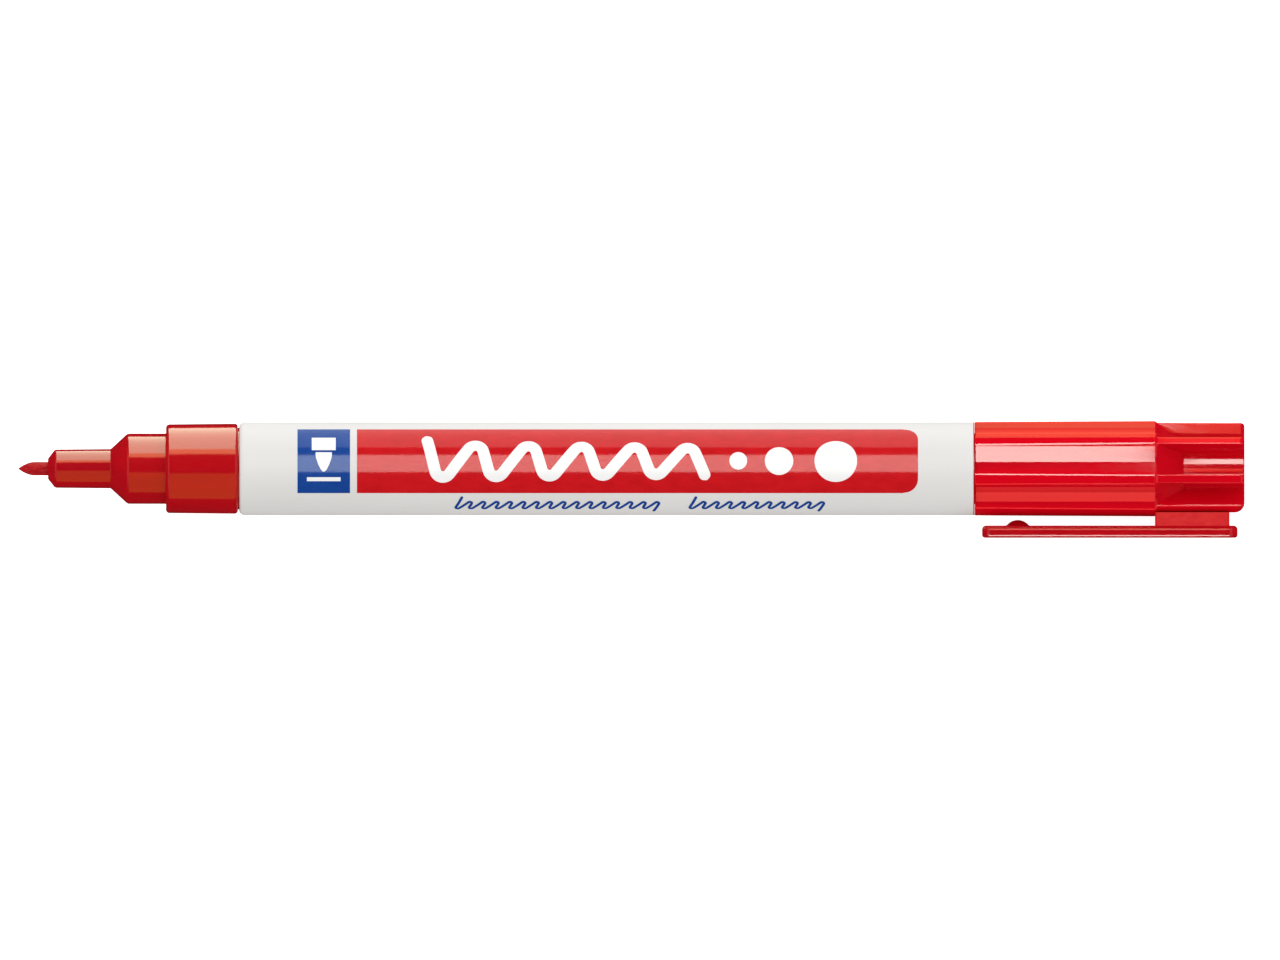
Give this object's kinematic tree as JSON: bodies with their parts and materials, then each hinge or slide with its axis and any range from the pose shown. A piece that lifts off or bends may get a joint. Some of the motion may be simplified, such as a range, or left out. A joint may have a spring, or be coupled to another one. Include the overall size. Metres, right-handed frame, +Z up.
{
  "type": "felt tip marker",
  "caption": "Slim permanent felt tip marker with a fine bullet nib, a printed white barrel and a fluted red clip cap posted on its rear end.",
  "frame": {"origin": "on the pen's axis, half-way along the barrel", "axes": "X along the pen with the nib at -X and the posted cap at +X; Z up from the surface it lies on, with the clip resting on that surface towards -Y"},
  "size_m": [0.1384, 0.0134, 0.0107],
  "materials": {
    "nib_fibre": "ground acrylic fibre soaked with red ink",
    "section_red": "satin moulded polypropylene",
    "barrel_white": "satin warm white lacquer with a glossy printed panel",
    "reservoir_fibre": "fibre bundle soaked with red ink",
    "film_clear": "clear film",
    "plug_red": "glossy moulded polypropylene",
    "cap_red": "glossy moulded polypropylene",
    "clip_red": "moulded polypropylene, glossy with a grained root"
  },
  "bodies": {
    "pen": {"barrel": "barrel_white", "nib_holder": "section_red", "nib": "nib_fibre", "ink_reservoir": "reservoir_fibre", "reservoir_film": "film_clear", "rear_plug": "plug_red"},
    "cap": {"cap_body": "cap_red", "clip_root": "clip_red"},
    "clip": {"clip_arm": "clip_red"}
  },
  "joints": [
    {"name": "cap_pull", "type": "slide", "parent": "pen", "child": "cap", "axis": [1, 0, 0], "range_m": [0, 0.03]},
    {"name": "clip_flex", "type": "hinge", "parent": "cap", "child": "clip", "pos_m": [0.06184, -0.00724, -0.00288], "axis": [0, -0.37, 0.9291], "range_deg": [-1, 6], "stiffness_Nm_per_rad": 1.2}
  ]
}
